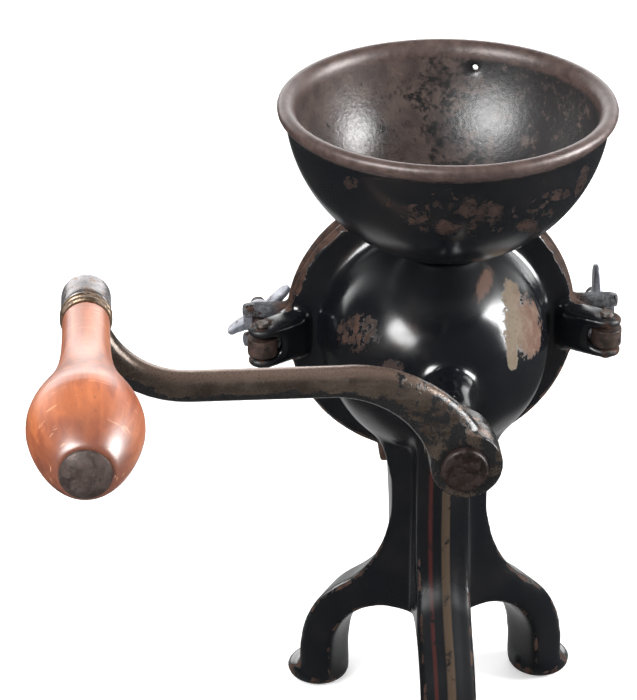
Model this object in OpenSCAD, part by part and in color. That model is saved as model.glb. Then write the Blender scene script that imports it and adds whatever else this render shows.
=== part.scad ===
// Hand-cranked table coffee mill: a cast body on three legs with a bowl hopper,
// a long front bearing, an S-shaped crank with a wooden grip, and a rear cover
// held by two swing-out eye bolts with wing nuts. Lengths in millimetres.
// The mill stands on z = 0 and the hopper's axis is the Z axis. The shaft lies
// along Y at height shaft_z, its crank end towards -Y.

/* [Hopper] */
// Outer diameter over the rolled rim
rim_d = 124; // [114:1:130]
// Radius of the rim's round bead
bead_r = 2.9; // [2.6:0.1:4]
// Wall of the bowl
bowl_wall = 4; // [3:0.25:6]
// Height of the rim's bead above the crank shaft
rim_rise = 107; // [104:1:112]
// Depth of the bowl's outside below the bead
bowl_depth = 57; // [55:0.5:58]
// Bore of the throat
throat_d = 17; // [14:0.5:19]
// Wall of the spigot that seats in the body's neck
spigot_wall = 2.5; // [2:0.25:3]
// Length of the spigot
spigot_len = 12; // [8:1:14]
// Diameter of the small hole in the bowl's rear wall
vent_d = 3; // [2:0.5:4]
// Depth of that hole below the bead's centre
vent_drop = 7; // [6:0.5:14]

/* [Body] */
// Height of the crank shaft above the table
shaft_z = 152; // [150:1:160]
// Radius of the dome
dome_r = 43; // [41:0.5:45]
// Distance of the dome's centre behind the hopper's axis
dome_y = 22; // [20:0.5:24]
// Wall of the dome
dome_wall = 6; // [5:0.5:7]
// Straight skirt between the dome and the flange
skirt_len = 12.5; // [12:0.5:15]
// Width of the flange beyond the dome
flange_lip = 13.5; // [12:0.5:14]
// Thickness of the body's flange
flange_t = 6.5; // [6:0.25:8]
// Diameter of the front bearing boss
boss_d = 17.4; // [16.5:0.2:20]
// Length of the boss in front of the dome
boss_len = 33; // [28:1:38]
// Wall of the neck round the hopper's spigot
neck_wall = 3.5; // [3:0.25:5]
// Diameter of the oil hole on the boss
oil_d = 3; // [2:0.5:4]

/* [Legs] */
// Width of each leg
leg_w = 21; // [18:1:23]
// Reach of the legs' outer edge from the column's axis
leg_reach = 56; // [53:1:60]
// Radial size of a leg above its foot
leg_depth = 14; // [12:1:17]
// Smallest reach of the column's edge
waist_r = 16.5; // [15:0.5:19]
// Height of the column's waist
waist_z = 96; // [92:0.5:99]
// Radius of the hollow curve from the waist to the leg
flare_r = 58; // [52:1:64]
// Radius of the leg's round knee
knee_r = 40; // [37:1:43]
// Height of the arch under the legs
arch_z = 46; // [43:1:48]
// Radius of the arch
arch_r = 29; // [27:1:31]
// Diameter of a round foot pad
pad_d = 26; // [25:0.5:28]
// Height of a foot pad
pad_h = 8; // [7:0.5:10]
// How far a pad's centre lies outside the middle of its leg
pad_shift = 3; // [1:0.5:5]
// How far the front pad's centre lies inside the middle of its leg, where the crank passes it
front_pad_back = 2.5; // [2.5:0.5:5]
// Width of the rib on the front leg
rib_w = 8; // [6:0.5:10]
// Height of that rib over the leg
rib_h = 2.5; // [1.5:0.25:3.5]

/* [Crank] */
// Diameter of the shaft
shaft_d = 12; // [11:0.5:13]
// Length of the thrust collar
collar_len = 7.4; // [6:0.2:9]
// Diameter of the thrust collar
collar_d = 25; // [22:0.5:26]
// Diameter of the crank's eye
eye_d = 26; // [25:0.5:28]
// How far the eye's round stands off the shaft's axis, on the side away from the arm
eye_shift = 1.2; // [0:0.1:2]
// Length of the crank's eye
eye_len = 14; // [13:0.5:16]
// Square of the shaft in the crank's eye
square_w = 9; // [7.5:0.25:9.5]
// Sideways distance from the shaft to the grip
grip_x = 131.5; // [122:0.5:138]
// Height of the grip above the shaft at rest
grip_rise = 66; // [58:1:72]
// Height of the arm's straight run above the shaft
arm_rise = 33; // [30:1:37]
// Sideways reach of the bend at the shaft
arm_bend_in = 44; // [40:1:50]
// Sideways reach of the bend at the grip
arm_bend_out = 35; // [34:1:40]
// Diameter of the arm along its straight run
arm_d = 11.5; // [10.5:0.25:12]
// Width of the arm where it leaves the eye
arm_root_w = 23; // [18:0.5:23]
// Diameter of the boss at the arm's end
end_boss_d = 17.4; // [15.5:0.1:19]
// Length of that boss
end_boss_len = 15; // [13:0.5:17]
// How far that boss stands behind the arm
end_boss_back = 2.5; // [1:0.25:3]
// Diameter of the round cap on the shaft's end
cap_d = 17; // [15:0.5:19]
// Height of that cap
cap_h = 3.4; // [2.5:0.1:4.5]

/* [Grip] */
// Length of the wooden grip
grip_len = 103.5; // [94:0.5:112]
// Largest diameter of the grip
grip_d = 38.5; // [34:0.5:41]
// Diameter of the grip's neck
grip_neck_d = 16.4; // [14.6:0.2:18]
// Diameter of the grip's end face
grip_end_d = 18; // [17.5:0.5:22]
// Place of the largest diameter along the grip
grip_bulge = 76; // [68:1:82]
// Length of the ferrule at the neck
ferrule_len = 6; // [4.5:0.1:7]
// Diameter of the spindle in the grip
spindle_d = 8; // [7:0.25:9]
// Diameter of the spindle's head
head_d = 16.8; // [14:0.2:17.4]
// Height of that head
head_h = 4; // [3:0.25:5]

/* [Burrs and worm] */
// Diameter of the burr ring in the body
burr_d = 76; // [73:0.5:77]
// Thickness of each burr
burr_t = 7; // [6:0.5:8]
// Diameter of the burr ring's opening
burr_mouth_d = 36; // [35:0.5:40]
// Teeth on each burr
burr_teeth = 24; // [18:1:30]
// Depth of the teeth
tooth_depth = 1.8; // [1.2:0.1:2.4]
// Grinding gap between the burrs
grind_gap = 0.4; // [0.3:0.1:1]
// Diameter of the feed worm
worm_d = 31; // [26:0.5:32]
// Pitch of the feed worm
worm_pitch = 17; // [15:0.5:19]

/* [Cover] */
// Thickness of the cover's flange
cover_flange_t = 5.5; // [5:0.25:7]
// Wall of the cover
cover_wall = 4.5; // [4:0.25:6]
// Depth of the cover's hollow
cover_depth = 11.5; // [11:0.25:13]
// Inner width of the outlet
outlet_w = 32; // [26:1:36]
// Length of the outlet below the hollow
outlet_len = 22; // [16:1:26]
// Diameter of the adjusting screw
adjust_d = 10; // [9:0.5:11]
// Diameter of the thrust ball
ball_d = 7; // [6:0.5:7.5]

/* [Eye bolts] */
// Distance of the hinge pins outside the flange's edge
pin_out = 10; // [9.5:0.25:13.5]
// Distance of the hinge pins in front of the cover's seat
bolt_grip = 21; // [20:0.5:23]
// Diameter of the hinge pins
pin_d = 4; // [3.5:0.25:4.5]
// Radius of the ears round the pins
ear_r = 6.2; // [5.8:0.1:7]
// Thickness of each ear
ear_t = 5; // [4.25:0.25:6]
// Thickness of the bolt's eye between the ears
bolt_eye_t = 7; // [6.5:0.25:8]
// Diameter of the bolt's shank
bolt_d = 6; // [5.5:0.25:6.5]
// Free thread behind the wing nut
bolt_spare = 6; // [5:0.5:8]
// Span of the wing nut
wing_span = 31; // [28:0.5:32]
// Height of the wing nut's hub
nut_h = 8; // [7:0.5:10]
// Thickness of the washer
washer_t = 1.5; // [1:0.25:2]
// How far the bolts lie below the shaft
bolt_drop = 1; // [0:0.5:2]

/* [Hidden] */
$fn = 64;

// Clearances: sliding fits, close seats, and gaps between castings
fit = 0.05;
seat = 0.02;
run_gap = 0.3;
// Overshoot of cuts and of pieces that are joined
over = 1;

// Places along the shaft, from the front of the crank to the back of the cover
flange_y = dome_y + skirt_len;
joint_y = flange_y + flange_t;
boss_tip_y = dome_y - dome_r - boss_len;
collar_y = boss_tip_y - run_gap - collar_len;
eye_y = collar_y - eye_len;
arm_y = eye_y + eye_len / 2 - 1;
seat_y = joint_y + cover_flange_t;
cover_in_y = joint_y + cover_depth;
cover_out_y = cover_in_y + cover_wall;

// Body sizes that follow from the driving ones
flange_r = dome_r + flange_lip;
flange_round = 2.4;
chamber_r = dome_r - dome_wall;
boss_r = boss_d / 2;
boss_rim_r = boss_r + 2.2;
boss_rim_len = 4.5;
boss_collar_r = boss_r + 1.8;
boss_collar_len = 4.5;
spigot_r = throat_d / 2 + spigot_wall;
neck_r = spigot_r + neck_wall;
bowl_r = rim_d / 2 - bead_r;
bowl_foot = 1.6;
rim_z = shaft_z + rim_rise;
bowl_z = rim_z - bowl_depth + bowl_r;
neck_z = bowl_z - sqrt(bowl_r * bowl_r - neck_r * neck_r) - bowl_foot;
neck_root_y = dome_y - 13;
neck_root_z = shaft_z + 12;
neck_root_r = dome_r - 16;
neck_blend_z = neck_z - 4;

// Burr seat in the body and the screws that hold the ring
burr_r = burr_d / 2;
burr_y = joint_y - burr_t - 2;
burr_back_y = burr_y + burr_t;
turning_y = burr_back_y + grind_gap;
turning_r = burr_r - 1.5;
turning_hub_r = 11;
turning_hub_len = 4;
hollow_r = burr_r + 3;
mouth_r = burr_mouth_d / 2;
ledge_r = mouth_r + 6;
screw_circle_r = (ledge_r + burr_r) / 2;
screw_count = 3;
screw_r = 2;
screw_head_r = 3.6;
screw_len = 10;
tooth_w = 2.2;
tooth_skew = 8;

// Column and legs
leg_angles = [-90, 30, 150];
flare_c = [waist_r + flare_r, waist_z];
knee_c = [
  leg_reach - knee_r,
  waist_z - sqrt(pow(flare_r + knee_r, 2) - pow(flare_c[0] - leg_reach + knee_r, 2))
];
leg_in_r = leg_reach - leg_depth;
arch_c = [leg_in_r - arch_r, arch_z - arch_r];
pad_r = pad_d / 2;
pad_c = leg_reach - leg_depth / 2 + pad_shift;
front_pad_c = leg_reach - leg_depth / 2 - front_pad_back;
pad_edge_r = pad_h / 2;
column_half = waist_r + 1.5;
column_fillet = 10;
column_front_y = 6;
column_back_y = joint_y - 0.5;
column_web_y = flange_y + flange_round + 0.4;
column_bite = 0.6;
column_hollow_r = 30;
column_hollow_z = waist_z - 25;
column_spine_y = 20;

// Crank, grip and spindle
shaft_r = shaft_d / 2;
cap_screw_r = 3;
cap_screw_len = 9;
bend_in_r = (arm_bend_in * arm_bend_in + arm_rise * arm_rise) / (2 * arm_rise);
out_rise = grip_rise - arm_rise;
bend_out_r = (arm_bend_out * arm_bend_out + out_rise * out_rise) / (2 * out_rise);
end_boss_back_y = arm_y + arm_d / 2 + end_boss_back;
end_boss_y = end_boss_back_y - end_boss_len;
end_boss_round = 2.5;
ferrule_y = end_boss_y - run_gap - ferrule_len;
grip_y = ferrule_y - seat;
grip_end_y = grip_y - grip_len;
head_rim = 1.2;
head_y = grip_end_y - run_gap;
rivet_h = 1.5;
ferrule_bead_r = ferrule_len / 4;

// Worm, pins and rear bearing
worm_r = worm_d / 2;
worm_core_r = shaft_r + 3;
worm_front_y = dome_y - chamber_r + 4;
worm_back_y = burr_back_y - 4;
cross_pin_r = 1.25;
shaft_end_y = turning_y + burr_t + turning_hub_len;
ball_r = ball_d / 2;
ball_sink = 0.8;
ball_y = shaft_end_y + ball_r - ball_sink;
adjust_r = adjust_d / 2;
adjust_tip_y = ball_y + ball_r - ball_sink;
adjust_boss_r = adjust_r + 6;
adjust_boss_y = cover_out_y + 6;
lock_t = 5;
lock_r = adjust_r + 4.5;
thumb_t = 4;
thumb_w = 24;
thumb_y = adjust_boss_y + lock_t + 1.5;
thumb_len = 14;

// Eye bolts and their ears
pin_x = flange_r + pin_out;
pin_y = seat_y - bolt_grip;
bolt_z = shaft_z - bolt_drop;
ear_gap = bolt_eye_t / 2 + run_gap;
ear_half = ear_gap + ear_t;
ear_root_x = flange_r + 3;
ear_fillet = 6;
ear_bite = 0.6;
bolt_eye_r = ear_r - 0.4;
bolt_r = bolt_d / 2;
pin_r = pin_d / 2;
pin_head_h = 1;
slot_half = bolt_r + 0.5;
washer_r = 6.4;
nut_y = seat_y + washer_t;
nut_r = 5.4;
nut_foot_r = 6.2;
nut_foot_h = 2;
bolt_end_y = nut_y + nut_h + bolt_spare;
lug_out_x = pin_x + washer_r + 0.6;
wing_t = 4.2;
wing_lobe_r = 3.6;
wing_tip_t = 1.6;
left_wing_turn = 38;
right_wing_turn = 90;

// Outlet below the cover's hollow
outlet_front_y = joint_y + 3.5;
outlet_back_y = cover_in_y + 1.5;
outlet_wall = 3.5;
outlet_z = shaft_z - hollow_r - outlet_len;

// Colours
enamel = [0.08, 0.08, 0.1];
worn_iron = [0.3, 0.25, 0.22];
steel = [0.55, 0.56, 0.6];
rust = [0.45, 0.3, 0.22];
brass = [0.66, 0.5, 0.3];
varnish = [0.66, 0.29, 0.12];

// Places children with their Z axis along +Y, at place y on the shaft
module on_shaft(y) {
  translate([0, y, shaft_z])
    rotate([-90, 0, 0])
      children();
}

// A cylinder along +Y that starts at place y on the shaft
module shaft_rod(y, length, radius) {
  on_shaft(y)
    cylinder(h = length, r = radius);
}

// Draws children on the right side, or mirrored on the left side
module on_side(side) {
  if (side == "left")
    mirror([1, 0, 0])
      children();
  else
    children();
}

// Half profile of the dome, skirt, flange and boss; Y is the place along the shaft
module body_profile() {
  fillet = 5;
  intersection() {
    translate([0, dome_y])
      circle(r = dome_r, $fn = 128);
    translate([0, dome_y - dome_r])
      square([dome_r, dome_r]);
  }
  translate([0, dome_y])
    square([dome_r, joint_y - dome_y]);
  translate([0, flange_y])
    square([flange_r - flange_round, flange_t]);
  translate([0, flange_y + flange_round])
    square([flange_r, flange_t - flange_round]);
  translate([flange_r - flange_round, flange_y + flange_round])
    circle(r = flange_round);
  difference() {
    translate([dome_r - over, flange_y - fillet])
      square([fillet + over, fillet + over]);
    translate([dome_r + fillet, flange_y - fillet])
      circle(r = fillet);
  }
  translate([0, boss_tip_y])
    square([boss_r, boss_len + over]);
  translate([0, dome_y - dome_r - boss_collar_len])
    square([boss_collar_r, boss_collar_len + 4]);
  translate([0, boss_tip_y])
    square([boss_rim_r, boss_rim_len]);
  polygon([
    [0, boss_tip_y + boss_rim_len],
    [boss_rim_r, boss_tip_y + boss_rim_len],
    [boss_r, boss_tip_y + boss_rim_len + 5],
    [0, boss_tip_y + boss_rim_len + 5]
  ]);
}

// Half profile of the feed chamber, which narrows to the burr's mouth
module chamber_profile() {
  cone_y = burr_y - 9;
  intersection() {
    translate([0, dome_y])
      circle(r = chamber_r, $fn = 128);
    translate([0, dome_y - chamber_r])
      square([chamber_r, chamber_r + cone_y - dome_y]);
  }
  polygon([
    [0, cone_y - seat],
    [sqrt(pow(chamber_r, 2) - pow(cone_y - dome_y, 2)), cone_y - seat],
    [ledge_r, burr_y],
    [ledge_r, burr_y + over],
    [0, burr_y + over]
  ]);
}

// Radial outline of a leg: column edge, flare, knee and the arch beneath; grow widens its outer edge
module leg_outline(grow, top_z) {
  turn = flare_c + (knee_c - flare_c) * (flare_r - grow) / (flare_r + knee_r);
  difference() {
    union() {
      difference() {
        translate([0, turn[1] - over])
          square([turn[0], top_z - turn[1] + over]);
        translate(flare_c)
          circle(r = flare_r - grow, $fn = 128);
      }
      intersection() {
        translate(knee_c)
          circle(r = knee_r + grow, $fn = 128);
        translate([0, knee_c[1] - over])
          square([leg_reach + grow, turn[1] - knee_c[1] + over]);
      }
      translate([0, pad_h / 2])
        square([leg_reach + grow, knee_c[1] - pad_h / 2]);
    }
    translate(arch_c)
      circle(r = arch_r, $fn = 128);
    translate([-over, -over])
      square([arch_c[0] + over, arch_z + over]);
    translate([-over, -over])
      square([leg_in_r + over, arch_c[1] + over]);
  }
}

// Upright plate of a radial outline, centred on the X axis
module radial_plate(width) {
  rotate([90, 0, 0])
    translate([0, 0, -width / 2])
      linear_extrude(height = width)
        children();
}

// Round foot pad with a half-round edge
module foot_pad(reach) {
  translate([reach, 0, 0])
    rotate_extrude() {
      square([pad_r - pad_edge_r, pad_h]);
      intersection() {
        translate([pad_r - pad_edge_r, pad_edge_r])
          circle(r = pad_edge_r);
        square([pad_r, pad_h]);
      }
    }
}

// Round corners between the column's straight sides and the flange's edge
module column_corners() {
  fillet_x = column_half + column_fillet;
  fillet_z = shaft_z - sqrt(pow(flange_r + column_fillet - column_bite, 2) - fillet_x * fillet_x);
  difference() {
    translate([-fillet_x, fillet_z])
      square([2 * fillet_x, shaft_z - fillet_z]);
    for (s = [-1, 1])
      translate([s * fillet_x, fillet_z])
        circle(r = column_fillet);
  }
}

// Upright plate of an XZ outline between two places along Y
module upright(front_y, back_y) {
  translate([0, back_y, 0])
    rotate([90, 0, 0])
      linear_extrude(height = back_y - front_y)
        children();
}

// Column between the legs and the flange, hollowed at the back above the legs
module column() {
  low_z = arch_z + 2;
  difference() {
    union() {
      upright(column_front_y, column_back_y)
        translate([-column_half, low_z])
          square([2 * column_half, shaft_z - low_z]);
      upright(column_web_y, column_back_y)
        column_corners();
    }
    translate([-flange_r, column_spine_y + column_hollow_r, column_hollow_z])
      rotate([0, 90, 0])
        cylinder(h = 2 * flange_r, r = column_hollow_r, $fn = 128);
    translate([-flange_r, column_spine_y, 0])
      cube([2 * flange_r, 2 * column_hollow_r, column_hollow_z]);
  }
}

// Three legs on their pads; the front one carries a rib and runs straight up to the dome
module legs() {
  side_top_z = shaft_z - dome_r / 4;
  rib_foot = dome_y + waist_r + rib_h;
  front_top_z = shaft_z - sqrt(max(0, dome_r * dome_r - rib_foot * rib_foot)) + over;
  for (a = leg_angles)
    rotate([0, 0, a]) {
      radial_plate(leg_w)
        leg_outline(0, a == leg_angles[0] ? waist_z : side_top_z);
      foot_pad(a == leg_angles[0] ? front_pad_c : pad_c);
    }
  rotate([0, 0, leg_angles[0]]) {
    radial_plate(rib_w)
      leg_outline(rib_h, waist_z);
    radial_plate(leg_w)
      translate([0, waist_z - over])
        square([waist_r, front_top_z - waist_z + over]);
    radial_plate(rib_w)
      translate([0, waist_z - over])
        square([waist_r + rib_h, front_top_z - waist_z + over]);
  }
}

// Plan of a clevis ear on the right side: a round lobe that widens into the flange
module ear_plan() {
  root_x = flange_r - 8;
  translate([pin_x, pin_y])
    circle(r = ear_r);
  polygon([
    [pin_x - ear_r * 0.6, pin_y - ear_r * 0.8],
    [root_x, flange_y - 4],
    [root_x, joint_y - 1],
    [flange_r, joint_y - 1],
    [pin_x + ear_r * 0.6, pin_y + ear_r * 0.8]
  ]);
}

// Round corners between the ear's level faces and the flange's edge
module ear_corners() {
  reach = ear_half + ear_fillet - ear_bite;
  fillet_x = sqrt(pow(flange_r + ear_fillet - ear_bite, 2) - reach * reach);
  difference() {
    translate([flange_r - 8, bolt_z - reach])
      square([fillet_x - flange_r + 8, 2 * reach]);
    for (s = [-1, 1])
      translate([fillet_x, bolt_z + s * reach])
        circle(r = ear_fillet);
    translate([ear_root_x, bolt_z - ear_gap])
      square([ear_fillet, 2 * ear_gap]);
  }
}

// Clevis on the right side, with the gap that the bolt's eye swings in
module clevis() {
  upright(column_web_y, column_back_y)
    ear_corners();
  translate([0, 0, bolt_z - ear_half])
    difference() {
      linear_extrude(height = 2 * ear_half)
        ear_plan();
      translate([ear_root_x, pin_y - 2 * ear_r, ear_t])
        cube([pin_x, flange_r, 2 * ear_gap]);
    }
}

// Neck under the hopper, which spreads into the dome as a leaning cone
module neck() {
  lean = atan2(neck_root_y, neck_blend_z - neck_root_z);
  translate([0, 0, shaft_z + dome_r / 2])
    cylinder(h = neck_z - shaft_z - dome_r / 2, r = neck_r);
  translate([0, neck_root_y, neck_root_z])
    rotate([lean, 0, 0])
      cylinder(h = norm([neck_root_y, neck_blend_z - neck_root_z]), r1 = neck_root_r, r2 = neck_r - 0.7);
}

// Main casting: dome, flange, boss, neck, clevis ears, column and legs
module body_casting() {
  color(enamel)
    difference() {
      union() {
        on_shaft(0)
          rotate_extrude($fn = 128)
            body_profile();
        neck();
        for (side = ["left", "right"])
          on_side(side)
            clevis();
        column();
        legs();
      }
      on_shaft(0)
        rotate_extrude($fn = 128)
          chamber_profile();
      shaft_rod(burr_y, joint_y - burr_y + over, burr_r + fit);
      shaft_rod(boss_tip_y - over, boss_len + dome_r, shaft_r + fit);
      translate([0, 0, shaft_z])
        cylinder(h = neck_z - shaft_z + over, r = spigot_r + fit);
      translate([0, boss_tip_y + boss_len / 2, shaft_z])
        cylinder(h = boss_d, d = oil_d);
      burr_screw_places()
        translate([0, 0, -over])
          cylinder(h = screw_len + 2 * over, r = screw_r + fit);
      for (side = ["left", "right"])
        on_side(side)
          translate([pin_x, pin_y, bolt_z - ear_half - over])
            cylinder(h = 2 * ear_half + 2 * over, r = pin_r + seat);
    }
}

// Places of the screws that hold the burr ring, Z along +Y from the screw's tip
module burr_screw_places() {
  for (i = [0 : screw_count - 1])
    on_shaft(burr_y + burr_t - tooth_depth - screw_len)
      rotate([0, 0, 30 + i * 360 / screw_count])
        translate([screw_circle_r, 0, 0])
          children();
}

// Bowl with a rolled rim, a foot ring and a spigot that drops into the neck
module hopper() {
  inner_r = bowl_r - bowl_wall;
  bottom_z = neck_z - spigot_len;
  color(enamel)
    difference() {
      rotate_extrude($fn = 128)
        difference() {
          union() {
            intersection() {
              translate([0, bowl_z])
                circle(r = bowl_r, $fn = 128);
              translate([0, bowl_z - bowl_r])
                square([bowl_r, bowl_depth]);
            }
            translate([rim_d / 2 - bead_r, rim_z])
              circle(r = bead_r);
            translate([0, neck_z])
              square([neck_r, bowl_foot + bowl_wall]);
            translate([0, bottom_z])
              square([spigot_r, spigot_len + over]);
          }
          translate([0, bowl_z])
            circle(r = inner_r, $fn = 128);
          translate([0, bottom_z - over])
            square([throat_d / 2, bowl_r]);
        }
      translate([0, 0, rim_z - vent_drop])
        rotate([0, 90, 73])
          cylinder(h = rim_d, d = vent_d);
    }
}

// Half profile of the rear cover's outer shape
module cover_profile() {
  round_r = 7;
  shell_r = hollow_r + cover_wall;
  translate([0, joint_y])
    square([flange_r, cover_flange_t - flange_round]);
  translate([0, joint_y])
    square([flange_r - flange_round, cover_flange_t]);
  translate([flange_r - flange_round, seat_y - flange_round])
    circle(r = flange_round);
  translate([0, joint_y])
    square([shell_r, cover_out_y - joint_y - round_r]);
  translate([0, joint_y])
    square([shell_r - round_r, cover_out_y - joint_y]);
  translate([shell_r - round_r, cover_out_y - round_r])
    circle(r = round_r);
  translate([0, joint_y])
    square([adjust_boss_r, adjust_boss_y - joint_y]);
}

// Slotted lug on the right side; its seat is rounded about the hinge pin so the bolt can swing out
module cover_lug() {
  root_x = flange_r - 8;
  translate([0, 0, bolt_z - ear_half])
    difference() {
      union() {
        translate([root_x, joint_y, 0])
          cube([pin_x - root_x, cover_flange_t, 2 * ear_half]);
        intersection() {
          translate([pin_x - seat, joint_y, 0])
            cube([lug_out_x - pin_x, cover_flange_t, 2 * ear_half]);
          translate([pin_x, pin_y, -over])
            cylinder(h = 2 * ear_half + 2 * over, r = bolt_grip, $fn = 128);
        }
      }
      translate([pin_x, joint_y - over, ear_half])
        rotate([-90, 0, 0])
          cylinder(h = cover_flange_t + 2 * over, r = slot_half);
      translate([pin_x, joint_y - over, ear_half - slot_half])
        cube([2 * washer_r, cover_flange_t + 2 * over, 2 * slot_half]);
    }
}

// Square spout under the cover's hollow
module outlet_block(wall, top_z, low_z) {
  translate([-outlet_w / 2 - wall, outlet_front_y - wall, low_z])
    cube([outlet_w + 2 * wall, outlet_back_y - outlet_front_y + 2 * wall, top_z - low_z]);
}

// Rear cover: shell over the turning burr, outlet spout, bolt lugs and adjusting boss
module rear_cover() {
  color(enamel)
    difference() {
      union() {
        on_shaft(0)
          rotate_extrude($fn = 128)
            cover_profile();
        for (side = ["left", "right"])
          on_side(side)
            cover_lug();
        outlet_block(outlet_wall, shaft_z - hollow_r / 2, outlet_z);
      }
      shaft_rod(joint_y - over, cover_depth + over, hollow_r);
      outlet_block(0, shaft_z - hollow_r / 2, outlet_z - over);
      shaft_rod(cover_in_y - over, adjust_boss_y, adjust_r + fit);
    }
}

// Skewed grooves of a burr's face, cut along +Z from the face at height 0
module burr_grooves(inner_r, outer_r) {
  for (i = [0 : burr_teeth - 1])
    rotate([0, 0, i * 360 / burr_teeth])
      translate([inner_r - over, tooth_skew, -tooth_depth])
        cube([outer_r - inner_r + 2 * over, tooth_w, tooth_depth + over]);
}

// Burr ring fixed in the body, toothed on its rear face
module fixed_burr() {
  color(steel)
    difference() {
      shaft_rod(burr_y, burr_t, burr_r);
      shaft_rod(burr_y - over, burr_t + 2 * over, mouth_r);
      on_shaft(burr_back_y)
        burr_grooves(mouth_r, burr_r);
      burr_screw_places()
        burr_screw(fit);
    }
}

// Countersunk screw along Z; grow opens it into its hole
module burr_screw(grow) {
  cone_h = screw_head_r - screw_r;
  cylinder(h = screw_len - cone_h, r = screw_r + grow);
  translate([0, 0, screw_len - cone_h - seat])
    cylinder(h = cone_h, r1 = screw_r + grow, r2 = screw_head_r + grow);
  if (grow > 0)
    translate([0, 0, screw_len - 2 * seat])
      cylinder(h = tooth_depth + over, r = screw_head_r + grow);
}

// The screws that hold the burr ring
module burr_screws() {
  color(steel)
    burr_screw_places()
      burr_screw(0);
}

// Hinge pin of an eye bolt, with a small round head on top
module hinge_pin() {
  color(steel)
    translate([pin_x, pin_y, bolt_z - ear_half - pin_head_h / 2]) {
      cylinder(h = 2 * ear_half + pin_head_h, r = pin_r);
      translate([0, 0, 2 * ear_half + pin_head_h / 2])
        cylinder(h = pin_head_h, r1 = pin_r + 0.8, r2 = pin_r + 0.2);
    }
}

module left_hinge_pin() {
  on_side("left")
    hinge_pin();
}

module right_hinge_pin() {
  on_side("right")
    hinge_pin();
}

// Eye bolt: flat round eye between the ears and a shank that points back through the lug
module eye_bolt() {
  color(rust)
    difference() {
      union() {
        translate([pin_x, pin_y, bolt_z - bolt_eye_t / 2])
          cylinder(h = bolt_eye_t, r = bolt_eye_r);
        translate([pin_x, pin_y + pin_r, bolt_z])
          rotate([-90, 0, 0])
            cylinder(h = bolt_end_y - pin_y - pin_r, r = bolt_r);
      }
      translate([pin_x, pin_y, bolt_z - bolt_eye_t])
        cylinder(h = 2 * bolt_eye_t, r = pin_r + fit);
    }
}

module left_eye_bolt() {
  on_side("left")
    eye_bolt();
}

module right_eye_bolt() {
  on_side("right")
    eye_bolt();
}

// Washer on the bolt, against the lug
module washer() {
  color(steel)
    translate([pin_x, seat_y + seat, bolt_z])
      rotate([-90, 0, 0])
        difference() {
          cylinder(h = washer_t - 2 * seat, r = washer_r);
          translate([0, 0, -over])
            cylinder(h = washer_t + 2 * over, r = bolt_r + fit);
        }
}

module left_washer() {
  on_side("left")
    washer();
}

module right_washer() {
  on_side("right")
    washer();
}

// Outline of one wing in its own plane: X outwards, Y along the bolt
module wing_outline() {
  tip_x = wing_span / 2 - wing_lobe_r;
  tip_y = nut_h - 0.5;
  translate([tip_x, tip_y])
    circle(r = wing_lobe_r);
  polygon([
    [nut_r - 2.5, 0.8],
    [nut_r + 0.8, 0.8],
    [tip_x + wing_lobe_r * 0.8, tip_y - wing_lobe_r * 0.6],
    [tip_x - wing_lobe_r * 0.6, tip_y + wing_lobe_r * 0.8],
    [nut_r - 2.5, nut_h - 1]
  ]);
}

// Plan of one wing seen along the bolt, thinner at its tip
module wing_plan() {
  polygon([
    [0, -wing_t / 2],
    [wing_span / 2, -wing_tip_t / 2],
    [wing_span / 2, wing_tip_t / 2],
    [0, wing_t / 2]
  ]);
}

// Wing nut on the bolt: round hub with two ears, turned about the bolt
module wing_nut(turn) {
  color(steel)
    translate([pin_x, nut_y + seat, bolt_z])
      rotate([-90, 0, 0])
        rotate([0, 0, turn])
          difference() {
            union() {
              cylinder(h = nut_foot_h, r = nut_foot_r);
              cylinder(h = nut_h, r1 = nut_r + 0.5, r2 = nut_r - 0.7);
              for (a = [0, 180])
                rotate([0, 0, a])
                  intersection() {
                    rotate([90, 0, 0])
                      translate([0, 0, -wing_t])
                        linear_extrude(height = 2 * wing_t)
                          wing_outline();
                    linear_extrude(height = 2 * nut_h)
                      wing_plan();
                  }
            }
            translate([0, 0, -over])
              cylinder(h = nut_h + 2 * over, r = bolt_r + fit);
          }
}

module left_wing_nut() {
  on_side("left")
    wing_nut(left_wing_turn);
}

module right_wing_nut() {
  on_side("right")
    wing_nut(right_wing_turn);
}

// Shaft: square for the crank, round through the boss, with a cup at its end for the ball
module crank_shaft() {
  color(steel)
    difference() {
      union() {
        shaft_rod(eye_y + eye_len, shaft_end_y - eye_y - eye_len, shaft_r);
        on_shaft(eye_y + seat)
          translate([-square_w / 2, -square_w / 2, 0])
            cube([square_w, square_w, eye_len]);
      }
      on_shaft(eye_y - over)
        cylinder(h = cap_screw_len + over + run_gap, r = cap_screw_r + fit);
      translate([0, ball_y, shaft_z])
        sphere(r = ball_r + fit);
      cross_hole(worm_pin_y(), worm_core_r + over);
      cross_hole(burr_pin_y(), turning_hub_r + over);
      cross_hole(collar_pin_y(), collar_d);
    }
}

// Places of the cross pins along the shaft
function worm_pin_y() = worm_front_y + 4;
function burr_pin_y() = turning_y + burr_t + cross_pin_r + run_gap;
function collar_pin_y() = collar_y + collar_len / 2;

// Cross pin through the shaft at place y, reaching half_len each way
module cross_pin(y, half_len) {
  translate([0, y, shaft_z - half_len])
    cylinder(h = 2 * half_len, r = cross_pin_r);
}

// Hole for a cross pin
module cross_hole(y, half_len) {
  translate([0, y, shaft_z - half_len])
    cylinder(h = 2 * half_len, r = cross_pin_r + seat);
}

module worm_pin() {
  color(steel)
    cross_pin(worm_pin_y(), worm_core_r);
}

module burr_pin() {
  color(steel)
    cross_pin(burr_pin_y(), turning_hub_r);
}

module collar_pin() {
  color(steel)
    cross_pin(collar_pin_y(), collar_d / 2);
}

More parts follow.
